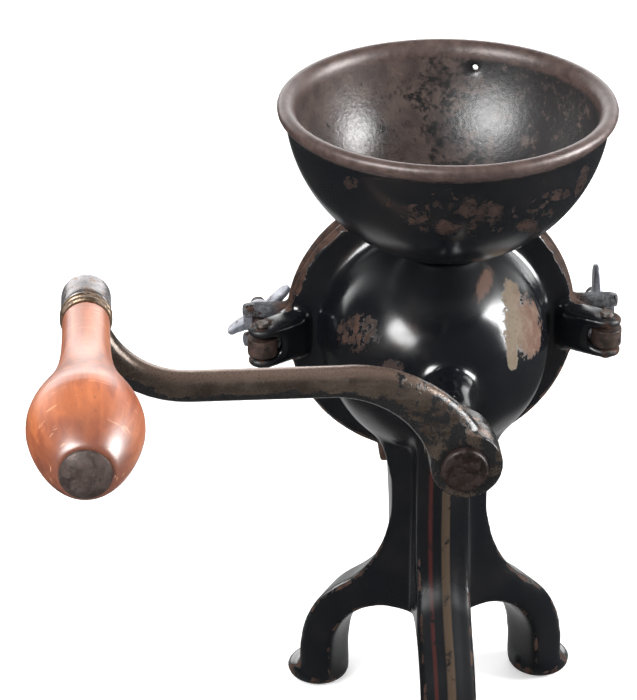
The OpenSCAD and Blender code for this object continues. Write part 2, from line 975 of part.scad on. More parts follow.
// Worm thread: a tapered rib wound round the sleeve, one ring of four points per step
worm_steps = 20;
worm_turns = (worm_back_y - worm_front_y - 6) / worm_pitch;
worm_rings = floor(worm_turns * worm_steps);

function worm_ring(i) =
  let (a = i * 360 / worm_steps, z = i * worm_pitch / worm_steps)
    [
      for (p = [[worm_core_r - 1, 0], [worm_r, 1.2], [worm_r, 3.4], [worm_core_r - 1, 5]])
        [p[0] * cos(a), p[0] * sin(a), z + p[1]]
    ];

// Side faces between neighbouring rings of a closed tube, plus its two end caps
function tube_faces(rings, sides) = concat(
  [[for (k = [sides - 1 : -1 : 0]) k]],
  [
    for (i = [0 : rings - 2], k = [0 : sides - 1], half = [0, 1])
      let (a = i * sides + k, b = i * sides + (k + 1) % sides)
        half == 0 ? [a, b, b + sides] : [a, b + sides, a + sides]
  ],
  [[for (k = [0 : sides - 1]) (rings - 1) * sides + k]]
);

// Feed worm: sleeve on the shaft with one winding thread
module feed_worm() {
  color(worn_iron)
    difference() {
      union() {
        shaft_rod(worm_front_y, worm_back_y - worm_front_y, worm_core_r);
        on_shaft(worm_front_y + 0.5)
          polyhedron(
            points = [for (i = [0 : worm_rings]) each worm_ring(i)],
            faces = tube_faces(worm_rings + 1, 4)
          );
      }
      shaft_rod(worm_front_y - over, worm_back_y - worm_front_y + 2 * over, shaft_r + seat);
      cross_hole(worm_pin_y(), worm_r + over);
    }
}

// Burr disc that turns with the shaft, toothed on its front face
module turning_burr() {
  color(steel)
    difference() {
      union() {
        shaft_rod(turning_y, burr_t, turning_r);
        shaft_rod(turning_y, burr_t + turning_hub_len, turning_hub_r);
      }
      on_shaft(turning_y)
        mirror([0, 0, 1])
          burr_grooves(mouth_r - 4, turning_r);
      shaft_rod(turning_y - over, burr_t + turning_hub_len + 2 * over, shaft_r + seat);
      cross_hole(burr_pin_y(), turning_hub_r + over);
    }
}

// Collar pinned to the shaft that runs against the boss
module thrust_collar() {
  color(worn_iron)
    difference() {
      shaft_rod(collar_y + seat, collar_len - seat, collar_d / 2);
      shaft_rod(collar_y - over, collar_len + 2 * over, shaft_r + seat);
      cross_hole(collar_pin_y(), collar_d);
    }
}

// Centre line of the arm in its turning plane: bend at the shaft, straight run, bend at the grip
function arm_bend_in_at(t) =
  let (c = [-arm_bend_in, arm_rise - bend_in_r], a0 = atan2(bend_in_r - arm_rise, arm_bend_in))
    c + bend_in_r * [cos(a0 + t * (90 - a0)), sin(a0 + t * (90 - a0))];
function arm_bend_out_at(t) =
  let (
    c = [arm_bend_out - grip_x, arm_rise + bend_out_r],
    a1 = 180 + atan2(bend_out_r - out_rise, arm_bend_out)
  )
    c + bend_out_r * [cos(270 + t * (a1 - 270)), sin(270 + t * (a1 - 270))];

arm_steps = 12;
arm_sides = 20;
arm_line = concat(
  [for (i = [0 : arm_steps]) arm_bend_in_at(i / arm_steps)],
  [for (i = [0 : arm_steps]) arm_bend_out_at(i / arm_steps)]
);
arm_last = len(arm_line) - 1;

// Half width of the arm in its turning plane: widest at the eye, round from the end of the first bend
function arm_half(i) =
  let (t = min(1, i / arm_steps))
    (arm_root_w + (arm_d - arm_root_w) * t) / 2;

// One ring of the arm's tube, square to the centre line
function arm_ring(i) =
  let (
    p = arm_line[i],
    d = arm_line[min(i + 1, arm_last)] - arm_line[max(i - 1, 0)],
    n = [-d[1], d[0]] / norm(d),
    w = arm_half(i)
  )
    [
      for (k = [0 : arm_sides - 1])
        let (a = k * 360 / arm_sides, q = p + w * cos(a) * n)
          [q[0], arm_y + arm_d / 2 * sin(a), shaft_z + q[1]]
    ];

// Crank arm: eye with a square hole, S-shaped arm and a round-backed boss for the grip
module crank_arm() {
  color(worn_iron)
    difference() {
      union() {
        translate([eye_shift, 0, 0])
          shaft_rod(eye_y, eye_len, eye_d / 2);
        polyhedron(
          points = [for (i = [0 : arm_last]) each arm_ring(i)],
          faces = tube_faces(arm_last + 1, arm_sides)
        );
        at_grip(end_boss_y)
          rotate_extrude()
            end_boss_profile();
      }
      on_shaft(eye_y - over)
        translate([-square_w / 2 - fit, -square_w / 2 - fit, 0])
          cube([square_w + 2 * fit, square_w + 2 * fit, eye_len + 2 * over]);
      at_grip(end_boss_y - over)
        cylinder(h = end_boss_len + 2 * over, r = spindle_d / 2 + seat);
    }
}

// Half profile of the arm's end boss, with a round rear edge
module end_boss_profile() {
  r = end_boss_d / 2;
  square([r, end_boss_len - end_boss_round]);
  square([r - end_boss_round, end_boss_len]);
  translate([r - end_boss_round, end_boss_len - end_boss_round])
    circle(r = end_boss_round);
}

// Places children on the grip's axis with their Z axis along +Y, at place y
module at_grip(y) {
  translate([-grip_x, y, shaft_z + grip_rise])
    rotate([-90, 0, 0])
      children();
}

// Round cap that holds the crank on the shaft, with its screw
module crank_cap() {
  edge = 0.8;
  color(rust) {
    on_shaft(eye_y - cap_h)
      cylinder(h = edge, r1 = cap_d / 2 - edge, r2 = cap_d / 2);
    on_shaft(eye_y - cap_h + edge)
      cylinder(h = cap_h - edge, r = cap_d / 2);
    shaft_rod(eye_y - seat, cap_screw_len, cap_screw_r);
  }
}

// Spindle through the grip: domed head in front, riveted end behind the arm's boss
module grip_spindle() {
  head_dome = head_h - head_rim;
  dome_sphere_r = (pow(head_d / 2, 2) + head_dome * head_dome) / (2 * head_dome);
  color(steel) {
    at_grip(head_y - seat)
      cylinder(h = end_boss_back_y - head_y + seat, r = spindle_d / 2);
    at_grip(head_y - head_rim)
      cylinder(h = head_rim, r = head_d / 2);
    intersection() {
      at_grip(head_y - head_h + dome_sphere_r)
        sphere(r = dome_sphere_r, $fn = 96);
      at_grip(head_y - head_h)
        cylinder(h = head_dome + seat, r = head_d / 2);
    }
    at_grip(end_boss_back_y)
      cylinder(h = rivet_h, r1 = spindle_d / 2 + 1.6, r2 = spindle_d / 2 - 1);
  }
}

// Pear shape of the grip: a slim neck that swells late, a full bulge and a narrow rounded end
function grip_radius(t) =
  t < grip_bulge
    ? grip_neck_d / 2 + (grip_d - grip_neck_d) / 2 * (0.5 - 0.5 * cos(180 * pow(t / grip_bulge, 2)))
    : grip_end_d / 2
      + (grip_d - grip_end_d) / 2
        * pow(1 - pow((t - grip_bulge) / (grip_len - grip_bulge), 1.4), 1 / 1.4);

grip_steps = 26;

// Wooden grip that turns on the spindle
module wooden_grip() {
  color(varnish)
    difference() {
      at_grip(grip_end_y)
        rotate_extrude($fn = 96)
          polygon(concat(
            [[0, 0]],
            [
              for (i = [grip_steps : -1 : 0])
                let (t = grip_len * sin(90 * i / grip_steps))
                  [grip_radius(t), grip_len - t]
            ],
            [[0, grip_len]]
          ));
      at_grip(grip_end_y - over)
        cylinder(h = grip_len + 2 * over, r = spindle_d / 2 + fit);
    }
}

// Metal ring with two beads between the grip and the arm's boss
module grip_ferrule() {
  color(brass)
    difference() {
      at_grip(ferrule_y)
        rotate_extrude() {
          square([grip_neck_d / 2, ferrule_len]);
          for (z = [ferrule_bead_r, ferrule_len - ferrule_bead_r])
            translate([grip_neck_d / 2 + 0.8 - ferrule_bead_r, z])
              circle(r = ferrule_bead_r);
        }
      at_grip(ferrule_y - over)
        cylinder(h = ferrule_len + 2 * over, r = spindle_d / 2 + fit);
    }
}

// Ball between the shaft's end and the adjusting screw
module thrust_ball() {
  color(steel)
    translate([0, ball_y, shaft_z])
      sphere(r = ball_r);
}

// Adjusting screw with a flat thumb grip
module adjusting_screw() {
  corner = 5;
  color(steel)
    difference() {
      union() {
        shaft_rod(adjust_tip_y, thumb_y - adjust_tip_y + over, adjust_r);
        on_shaft(thumb_y)
          translate([0, thumb_t / 2, 0])
            rotate([90, 0, 0])
              linear_extrude(height = thumb_t)
                thumb_outline(corner);
      }
      translate([0, ball_y, shaft_z])
        sphere(r = ball_r + fit);
    }
}

// Round-cornered outline of the thumb grip
module thumb_outline(corner) {
  translate([-thumb_w / 2, 0])
    square([thumb_w, thumb_len - corner]);
  translate([corner - thumb_w / 2, 0])
    square([thumb_w - 2 * corner, thumb_len]);
  for (s = [-1, 1])
    translate([s * (thumb_w / 2 - corner), thumb_len - corner])
      circle(r = corner);
}

// Lock nut on the adjusting screw, against the cover's boss
module lock_nut() {
  color(steel)
    difference() {
      on_shaft(adjust_boss_y + seat)
        cylinder(h = lock_t, r = lock_r, $fn = 6);
      shaft_rod(adjust_boss_y - over, lock_t + 2 * over, adjust_r + seat);
    }
}

body_casting();
hopper();
rear_cover();
fixed_burr();
burr_screws();
left_hinge_pin();
right_hinge_pin();
left_eye_bolt();
right_eye_bolt();
left_washer();
right_washer();
left_wing_nut();
right_wing_nut();
crank_shaft();
feed_worm();
worm_pin();
turning_burr();
burr_pin();
thrust_collar();
collar_pin();
crank_arm();
crank_cap();
grip_spindle();
wooden_grip();
grip_ferrule();
thrust_ball();
adjusting_screw();
lock_nut();
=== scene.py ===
"""Looks for the hand-cranked coffee mill: surfaces, floor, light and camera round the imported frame."""

import math

import bpy
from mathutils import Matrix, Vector

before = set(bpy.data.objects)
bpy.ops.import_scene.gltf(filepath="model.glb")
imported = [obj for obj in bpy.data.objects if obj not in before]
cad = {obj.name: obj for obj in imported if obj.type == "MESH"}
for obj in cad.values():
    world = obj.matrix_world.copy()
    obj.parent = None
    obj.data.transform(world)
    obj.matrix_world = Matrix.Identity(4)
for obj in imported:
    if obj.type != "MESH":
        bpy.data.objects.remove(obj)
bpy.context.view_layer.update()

MM_IN_M = 1000.0
NO_SHIFT = (0.0, 0.0, 0.0)

# Sizes from the part, in millimetres
SHAFT_Z = 152.0
FLANGE_R = 56.5
RIM_Z = 259.0
BOWL_CENTRE = (0.0, 0.0, 261.1)
BOWL_R = 59.1
GRIP_X = -131.5
GRIP_Z = 218.0
LEG_TURNS = (-90.0, 30.0, 150.0)
LEG_HALF = 10.5
BOSS_TIP = -54.0
NECK_ROOT = (0.0, 0.0, 178.0)

# Places on the part, in millimetres: a mask goes from 0 to 1 between the two numbers
FLANGE_Y = (33.0, 35.0)
BODY_EDGE_R = (FLANGE_R - 4.0, FLANGE_R - 0.8)
COVER_EDGE_R = (FLANGE_R - 4.0, FLANGE_R - 0.5)
EAR_X = (58.5, 66.0)
LUG_X = (57.0, 63.0)
SPOUT_Z = (100.0, 90.0)
NOSE_Y = (BOSS_TIP + 8.0, BOSS_TIP + 5.0)
NOSE_Z = (128.0, 134.0)
SOLE_Z = (9.0, 3.0)
LEG_EDGE = (LEG_HALF - 4.0, LEG_HALF - 2.5)
LEG_OUT = (15.0, 20.0)
LEG_Z = (92.0, 78.0)
RIB_Y = (-15.5, -16.5)
RIB_Z = (140.0, 136.0)
NECK_Z = (176.0, 190.0)
NECK_Y = (31.0, 27.0)
FRONT_LEG_Z = (92.0, 70.0)
FRONT_LEG_Y = (-22.0, -30.0)
# Where the pale chip's painted highlight on the left gives way to its brown
PALE_HIGHLIGHT_SIDE = (26.0, 34.0)
BOWL_INSIDE_R = (BOWL_R - 1.2, BOWL_R - 2.0)
BOWL_INSIDE_Z = (200.0, 206.0)
BOWL_LEFT_X = (40.0, -40.0)
BOWL_FAR_Y = (-40.0, 42.0)
BOWL_MIDDLE_X = (-10.0, 20.0)
BEAD_Z = (RIM_Z - 4.2, RIM_Z - 2.4)
BEAD_R = (BOWL_R - 6.0, BOWL_R - 4.4)
CRANK_ROOT_X = (-46.0, -8.0)
GRIP_BOSS_R = (12.0, 8.0)
GRIP_TIP_Y = (-166.0, -188.0)
GRIP_NECK_Y = (-92.0, -84.0)

# Patches on the front: centre, half width and half height in millimetres, then lean where there is one
PATCH_DEPTH = 16.0
BROWN_SPOT = ((-32.5, -1.5, 169.5), 7.0, 6.2)
LOW_SPOT = ((-20.5, -12.0, 160.0), 5.0, 2.6)
AMBER_SPOT = ((14.9, -1.0, 187.6), 3.2, 6.4)
PALE_CHIP = (
    ((30.2, -0.6, 169.6), 9.0, 10.6),
    ((26.0, 3.0, 179.6), 4.0, 6.4),
    ((25.2, -8.6, 161.6), 2.2, 6.0),
    ((33.4, 0.8, 162.8), 3.8, 5.8),
)
BOWL_MIDDLE = ((-4.0, -55.8, 241.0), 27.0, 9.5)
BOWL_RIGHT = ((26.0, -47.0, 237.0), 16.0, 8.0)
BOWL_STREAKS = (
    ((34.5, -44.5, 243.0), 5.4, 1.9, 1.3),
    ((44.5, -33.5, 243.5), 2.2, 5.4, 0.25),
)
BOWL_FLAKES = (
    ((-38.5, -43.0, 249.0), 2.4, 2.0),
    ((-15.5, -53.5, 240.0), 3.0, 2.0),
    ((2.0, -57.0, 245.0), 2.6, 3.4),
    ((9.5, -55.5, 242.0), 5.0, 3.6),
    ((24.5, -47.0, 232.0), 4.4, 2.4),
    ((-6.0, -54.0, 235.5), 4.2, 2.4),
)

# How much of the enamel is lost in each place, from 0 to 1, and how much paint the crank keeps; the black
# kept on its underside is also painted shade there
BODY_WEAR = {"edge": 0.82, "ears": 0.62, "nose": 0.95, "soles": 0.62, "arris": 0.56, "spread": 0.24}
COVER_WEAR = {"edge": 0.78, "spout": 0.6, "lugs": 0.3, "spread": 0.30}
BOWL_WEAR = {"middle": 0.50, "right": 0.46, "spread": 0.38}
CRANK_PAINT_AND_SHADE = {"under": 0.88, "root": 0.66}

# Colours
ENAMEL_BLUE = (0.0034, 0.0043, 0.0060)
ENAMEL_GREY = (0.0066, 0.0066, 0.0074)
DUST = (0.05, 0.043, 0.038)
RUST_DARK = (0.024, 0.0145, 0.0115)
RUST_LIGHT = (0.070, 0.038, 0.028)
RUST_GRAIN = (0.098, 0.060, 0.046)
NOSE_METAL = (0.165, 0.128, 0.098)
AMBER = (0.092, 0.052, 0.038)
# Painted highlight: light tan for the left part of the pale chip
PALE_TAN_HIGHLIGHT = (0.132, 0.104, 0.074)
PALE_BROWN = (0.102, 0.055, 0.039)
PALE_SPECK = (0.088, 0.055, 0.042)
PALE_CLOUD = (0.160, 0.120, 0.089)
RED_LINE = (0.046, 0.010, 0.009)
# Painted reflection: tan band standing for the front rib's lit side
TAN_RIB_SHEEN = (0.056, 0.038, 0.025)
LUG_DARK = (0.055, 0.057, 0.063)
LUG_LIGHT = (0.125, 0.128, 0.138)
BOWL_CHIP_SHADE = (0.022, 0.016, 0.015)
BOWL_FLAKE_SHADE = (0.026, 0.018, 0.016)
INSIDE_DARK = (0.050, 0.036, 0.034)
INSIDE_LIGHT = (0.098, 0.070, 0.060)
INSIDE_SPECK = (0.125, 0.092, 0.078)
INSIDE_BLACK = (0.015, 0.0138, 0.0146)
RIM_DARK = (0.053, 0.032, 0.028)
RIM_LIGHT = (0.096, 0.062, 0.054)
RIM_SPOT = (0.034, 0.026, 0.024)
IRON_DARK = (0.050, 0.037, 0.029)
IRON_LIGHT = (0.100, 0.077, 0.061)
IRON_STREAK = (0.135, 0.108, 0.087)
# Painted highlight: lighter brown for the crank's upward-facing side
IRON_TOP_HIGHLIGHT = (0.215, 0.150, 0.118)
BLACK_PAINT = (0.013, 0.0125, 0.013)
BOSS_DARK = (0.15, 0.145, 0.15)
BOSS_LIGHT = (0.33, 0.31, 0.32)
WOOD_DARK = (0.235, 0.045, 0.012)
WOOD_LIGHT = (0.430, 0.112, 0.031)
WOOD_CLOUD = (0.46, 0.140, 0.044)
WOOD_PORE = (0.19, 0.050, 0.020)
WOOD_FLECK = (0.06, 0.020, 0.011)
WOOD_TIP = (0.130, 0.040, 0.022)
WOOD_NECK = (0.24, 0.068, 0.026)
WOOD_SCRATCH = (0.78, 0.42, 0.24)
STEEL_DARK = (0.16, 0.155, 0.15)
STEEL_LIGHT = (0.36, 0.35, 0.34)
STEEL_RUST = (0.10, 0.06, 0.04)
WHITE = (1.0, 1.0, 1.0)
FLOOR_GREY = (0.84, 0.84, 0.84)
FLOOR_MIRRORED = (0.03, 0.03, 0.03)

# A red painted line and a tan painted reflection standing for the rib's lit side, on the front rib: left and
# right edge in millimetres, colour
RIB_LINE_AND_SHEEN = ((-5.8, -4.4, RED_LINE), (-1.0, 2.2, TAN_RIB_SHEEN))
LINE_BLUR = 0.4

# Finish: roughness, and shine as the Principled node's specular level
ENAMEL_ROUGH = (0.13, 0.24)
CHIP_ROUGH = 0.6
COVER_CHIP_ROUGH = 0.62
GRIME_ROUGH = 0.60
RIM_ROUGH = 0.43
INSIDE_ROUGH = (0.19, 0.32)
IRON_ROUGH = 0.29
PAINT_ROUGH = 0.25
STEEL_RUST_ROUGH = 0.62
ENAMEL_SHINE = 0.9
BARE_SHINE = 0.12

# Steel pieces: name, dark and light colour, rust, share of rust, metallic, roughness, other settings, nodes
STEELS = (
    (
        "grip rivet", (0.060, 0.043, 0.038), (0.120, 0.088, 0.078), (0.036, 0.024, 0.020),
        0.50, 0.55, 0.42, {"size": 2.0},
        ("grip_spindle",),
    ),
    (
        "dull brass", (0.15, 0.106, 0.070), (0.27, 0.200, 0.138), (0.085, 0.058, 0.042),
        0.45, 0.85, 0.36, {},
        ("grip_ferrule",),
    ),
    (
        "shaft cap", (0.012, 0.0072, 0.0060), (0.027, 0.0150, 0.0118), (0.015, 0.0080, 0.0064),
        0.55, 0.35, 0.42, {},
        ("crank_cap",),
    ),
    (
        "blue-grey nut steel", (0.19, 0.197, 0.230), (0.40, 0.41, 0.455), (0.06, 0.048, 0.042),
        0.42, 0.6, 0.40, {},
        ("left_wing_nut", "right_wing_nut", "left_washer", "right_washer"),
    ),
    (
        "rusty bolt", (0.026, 0.020, 0.018), (0.062, 0.044, 0.035), (0.036, 0.019, 0.014),
        0.60, 0.5, 0.45, {"thread": (38.0, 68.0, 1.0)},
        ("left_eye_bolt", "right_eye_bolt"),
    ),
    (
        "turned steel", STEEL_DARK, STEEL_LIGHT, STEEL_RUST,
        0.36, 0.9, 0.32, {},
        ("crank_shaft", "burr_screws", "worm_pin", "burr_pin", "collar_pin", "thrust_ball", "lock_nut"),
    ),
    (
        "dark pin steel", (0.045, 0.040, 0.038), (0.12, 0.105, 0.096), (0.050, 0.030, 0.022),
        0.5, 0.7, 0.42, {},
        ("left_hinge_pin", "right_hinge_pin"),
    ),
    (
        "screw steel", STEEL_DARK, STEEL_LIGHT, STEEL_RUST,
        0.4, 0.9, 0.34, {"thread": (54.0, 68.0, 1.5)},
        ("adjusting_screw",),
    ),
    (
        "burr iron", (0.10, 0.095, 0.09), (0.22, 0.21, 0.20), (0.09, 0.055, 0.035),
        0.45, 0.75, 0.45, {},
        ("fixed_burr", "turning_burr", "feed_worm"),
    ),
)

# Rounded corners: size of the even mesh in millimetres and rounds of smoothing; the body has its own fillets
RELAX = 0.5
BODY_MESH = 1.05
BODY_ROUNDS = 5
FILLET_ROUNDS = 38
FILLET_LEAST = 0.13
FILLET_R = (24.0, 0.55 * 24.0)
ROUNDED = {
    "rear_cover": (0.9, 10),
    "hopper": (0.9, 24),
    "wooden_grip": (0.7, 14),
    "crank_arm": (0.7, 14),
    "left_wing_nut": (0.4, 6),
    "right_wing_nut": (0.4, 6),
    "left_eye_bolt": (0.4, 4),
    "right_eye_bolt": (0.4, 4),
    "adjusting_screw": (0.4, 4),
    "crank_cap": (0.4, 4),
}

# Floor: half size in metres; places in millimetres and strengths of its glow in reflections and to the camera
FLOOR_HALF = 12.0
BRIGHT_Y = (0.0, 60.0)
BRIGHT_X = (150.0, 90.0)
MIRRORED_GLOW = (0.008, 0.5)
WHITE_FROM = (500.0, 2500.0)
WHITE_GLOW = (0.42, 0.68)

# World: the wall's place as shares of a direction, and strengths
WALL_Y = (0.55, 0.85)
WALL_Z = (0.52, 0.38)
WALL_GLOW = 3.2
ROOM_GLOW = 0.05
ROOM_LIGHT = 0.42

# Lamps: turn and lift in degrees, distance, width and height in metres, power in watts
LAMP_AIM = Vector((0.0, 0.0, 0.17))
LAMPS = {
    "left softbox": (-47, 35, 0.95, 0.52, 0.44, 11.0),
    "right softbox": (85, 18, 0.95, 0.46, 0.56, 17.0),
    "top softbox": (180, 72, 1.1, 0.6, 0.5, 4.5),
}

# The photograph's view: focal length in its pixels, turn, tilt and place in millimetres
FOCAL = 3000.0
PICTURE_HEIGHT = 700.0
SENSOR = 36.0
TURN = math.radians(-3.83)
TILT = math.radians(27.45)
EYE = Vector((-113.4, -996.29, 680.07))
LOOK = Vector((-math.sin(TURN) * math.cos(TILT), math.cos(TURN) * math.cos(TILT), -math.sin(TILT)))
SIDE = Vector((math.cos(TURN), math.sin(TURN), 0))
RISE = SIDE.cross(LOOK)


class Surface:
    """A Principled material whose inputs are built from small node expressions in millimetres."""

    def __init__(self, name):
        self.mat = bpy.data.materials.new(name)
        self.mat.use_nodes = True
        self.tree = self.mat.node_tree
        self.tree.nodes.clear()
        out = self.tree.nodes.new("ShaderNodeOutputMaterial")
        self.bsdf = self.tree.nodes.new("ShaderNodeBsdfPrincipled")
        self.tree.links.new(self.bsdf.outputs[0], out.inputs["Surface"])
        coords = self.tree.nodes.new("ShaderNodeTexCoord")
        self.place = self.vector("SCALE", coords.outputs["Object"], scale=MM_IN_M)
        parts = self.tree.nodes.new("ShaderNodeSeparateXYZ")
        self.tree.links.new(self.place, parts.inputs[0])
        self.x, self.y, self.z = parts.outputs

    def feed(self, socket, value):
        if isinstance(value, bpy.types.NodeSocket):
            self.tree.links.new(value, socket)
        elif isinstance(value, (tuple, list)) and len(value) == 3 and socket.type == "RGBA":
            socket.default_value = (*value, 1.0)
        else:
            socket.default_value = value

    def set(self, **inputs):
        """Sets inputs of the Principled node by their names, in lower case and with underscores."""
        for name, value in inputs.items():
            self.feed(self.bsdf.inputs[name.replace("_", " ").title().replace("Ior", "IOR")], value)

    def vector(self, operation, a, b=None, scale=None):
        n = self.tree.nodes.new("ShaderNodeVectorMath")
        n.operation = operation
        self.feed(n.inputs[0], a)
        if b is not None:
            self.feed(n.inputs[1], b)
        if scale is not None:
            self.feed(n.inputs["Scale"], scale)
        return n.outputs["Value" if operation in ("LENGTH", "DOT_PRODUCT", "DISTANCE") else "Vector"]

    def along(self, direction, place=None):
        """Distance of a place along a fixed direction."""
        return self.vector("DOT_PRODUCT", place or self.place, tuple(direction))

    def math(self, operation, a, b=0.0):
        n = self.tree.nodes.new("ShaderNodeMath")
        n.operation = operation
        self.feed(n.inputs[0], a)
        self.feed(n.inputs[1], b)
        return n.outputs[0]

    def absolute(self, a):
        return self.math("ABSOLUTE", a)

    def add(self, a, b):
        return self.math("ADD", a, b)

    def sub(self, a, b):
        return self.math("SUBTRACT", a, b)

    def mul(self, a, b):
        return self.math("MULTIPLY", a, b)

    def radius(self, a, b):
        """Distance from an axis, from the offsets across it."""
        return self.math("SQRT", self.add(self.mul(a, a), self.mul(b, b)))

    def most(self, *values):
        top = values[0]
        for v in values[1:]:
            top = self.math("MAXIMUM", top, v)
        return top

    def ramp(self, value, low, high, to_low=0.0, to_high=1.0):
        n = self.tree.nodes.new("ShaderNodeMapRange")
        n.interpolation_type = "SMOOTHSTEP"
        self.feed(n.inputs["Value"], value)
        self.feed(n.inputs["From Min"], low)
        self.feed(n.inputs["From Max"], high)
        self.feed(n.inputs["To Min"], to_low)
        self.feed(n.inputs["To Max"], to_high)
        return n.outputs[0]

    def mix(self, factor, a, b):
        """Colour from a to b."""
        n = self.tree.nodes.new("ShaderNodeMix")
        n.data_type = "RGBA"
        self.feed(n.inputs[0], factor)
        self.feed(n.inputs[6], a)
        self.feed(n.inputs[7], b)
        return n.outputs[2]

    def blend(self, factor, a, b):
        """Number from a to b."""
        n = self.tree.nodes.new("ShaderNodeMix")
        self.feed(n.inputs[0], factor)
        self.feed(n.inputs[2], a)
        self.feed(n.inputs[3], b)
        return n.outputs[0]

    def noise(self, size, detail=4.0, rough=0.55, where=None, warp=0.0):
        """Noise with features about size millimetres across."""
        n = self.tree.nodes.new("ShaderNodeTexNoise")
        self.tree.links.new(where or self.place, n.inputs["Vector"])
        n.inputs["Scale"].default_value = 1.0 / size
        n.inputs["Detail"].default_value = detail
        n.inputs["Roughness"].default_value = rough
        n.inputs["Distortion"].default_value = warp
        return n.outputs["Fac"]

    def moved(self, shift, stretch=(1.0, 1.0, 1.0)):
        return self.vector("MULTIPLY", self.vector("ADD", self.place, shift), stretch)

    def bump(self, height, distance, strength, below=None):
        n = self.tree.nodes.new("ShaderNodeBump")
        n.inputs["Strength"].default_value = strength
        n.inputs["Distance"].default_value = distance / MM_IN_M
        self.tree.links.new(height, n.inputs["Height"])
        if below is not None:
            self.tree.links.new(below, n.inputs["Normal"])
        return n.outputs[0]

    def facing(self, direction):
        """How far the surface faces a fixed direction of the part, from -1 to 1."""
        n = self.tree.nodes.new("ShaderNodeTexCoord")
        return self.along(direction, n.outputs["Normal"])

    def patch(self, centre, width, height, ragged, lean=0.0, soft=0.12):
        """A ragged oval patch: centre in millimetres, half sizes across and up the photograph's view."""
        off = self.vector("SUBTRACT", self.place, centre)
        across = self.along(SIDE, off)
        up = self.along(RISE, off)
        back = self.along(LOOK, off)
        if lean:
            across = self.sub(across, self.mul(up, lean))
        a = self.mul(across, 1.0 / width)
        b = self.mul(up, 1.0 / height)
        c = self.mul(back, 1.0 / PATCH_DEPTH)
        d = self.math("SQRT", self.add(self.add(self.mul(a, a), self.mul(b, b)), self.mul(c, c)))
        return self.ramp(self.add(d, ragged), 1.0 + soft, 1.0 - soft)


def wear(s, amount, size, shift=NO_SHIFT, soft=0.03):
    """Broken-edged patches that cover more where amount, from 0 to 1, is larger."""
    n = s.noise(size, 6.0, 0.62, s.moved(shift), 0.3)
    level = s.sub(0.80, s.mul(amount, 0.50))
    return s.ramp(n, s.sub(level, soft), s.add(level, soft))


def amounts(s, masks, shares):
    """The largest amount at each point, from masks of places and each place's share."""
    return s.most(*(s.mul(mask, shares[place]) for place, mask in masks.items()))


def around_shaft(s):
    return s.radius(s.x, s.sub(s.z, SHAFT_Z))


def enamel_base(s):
    """Black enamel with a blue-grey cast; returns colour, roughness and fine height."""
    cloud = s.noise(22.0, 5.0, 0.6)
    fine = s.noise(1.6, 4.0, 0.6)
    dust = s.ramp(s.noise(1.3, 3.0, 0.7, s.moved((40.0, 7.0, 3.0)), 1.2), 0.62, 0.75)
    colour = s.mix(s.ramp(cloud, 0.38, 0.68), ENAMEL_BLUE, ENAMEL_GREY)
    colour = s.mix(s.mul(dust, 0.15), colour, DUST)
    rough = s.add(s.ramp(cloud, 0.3, 0.75, *ENAMEL_ROUGH), s.mul(fine, 0.06))
    return colour, rough, fine


def rust(s, shift=NO_SHIFT):
    """Brown oxide as it shows through chipped enamel."""
    tone = s.noise(5.0, 5.0, 0.65, s.moved(shift))
    deep = s.mix(s.ramp(tone, 0.36, 0.66), RUST_DARK, RUST_LIGHT)
    grain = s.ramp(s.noise(0.8, 3.0, 0.6), 0.55, 0.72)
    return s.mix(s.mul(grain, 0.5), deep, RUST_GRAIN)


def ragged_edge(s, shift=NO_SHIFT):
    """Uneven offset, in parts of a patch's half size, that tears the patch's edge."""
    where = s.moved(shift)
    broad = s.sub(s.noise(7.0, 4.0, 0.6, where, 0.4), 0.5)
    small = s.sub(s.noise(1.7, 4.0, 0.65, where), 0.5)
    return s.add(s.mul(broad, 1.3), s.mul(small, 0.9))


def leg_edge(s, turn):
    """Rounded long edges of one leg, where the surface turns from the leg's side to its outline."""
    a = math.radians(turn)
    across = (-math.sin(a), math.cos(a), 0.0)
    out = s.along((math.cos(a), math.sin(a), 0.0))
    off = s.absolute(s.along(across))
    slant = s.absolute(s.facing(across))
    edge = s.mul(s.ramp(slant, 0.30, 0.55), s.ramp(slant, 0.96, 0.86))
    return s.mul(edge, s.mul(s.ramp(off, *LEG_EDGE), s.ramp(out, *LEG_OUT)))


def finish_casting(s, colour, rough, dull, fine):
    """Joins enamel and bare places: where dull is 1 the surface lies a little lower and shines less."""
    swell = s.noise(14.0, 2.0, 0.5)
    n = s.bump(swell, 0.5, 0.3)
    n = s.bump(fine, 0.02, 0.5, n)
    n = s.bump(s.sub(1.0, dull), 0.14, 0.6, n)
    shine = s.blend(dull, ENAMEL_SHINE, BARE_SHINE)
    s.set(base_color=colour, roughness=rough, normal=n, specular_ior_level=shine)
    return s.mat


def pale_stain(s, torn):
    """Colour of the large pale chip: brown on the right with specks; the lighter tan on its left is a painted
    highlight, where the dome's light falls across the chip.
    """
    highlight_side = s.ramp(s.add(s.along(SIDE), s.mul(torn, 6.0)), *PALE_HIGHLIGHT_SIDE)
    stain = s.mix(highlight_side, PALE_TAN_HIGHLIGHT, PALE_BROWN)
    stain = s.mix(s.ramp(s.noise(1.3, 4.0, 0.7), 0.52, 0.70), stain, PALE_SPECK)
    cloud = s.ramp(s.noise(4.5, 4.0, 0.6, s.moved((8.0, 1.0, 5.0))), 0.45, 0.65)
    return s.mix(s.mul(cloud, 0.6), stain, PALE_CLOUD)


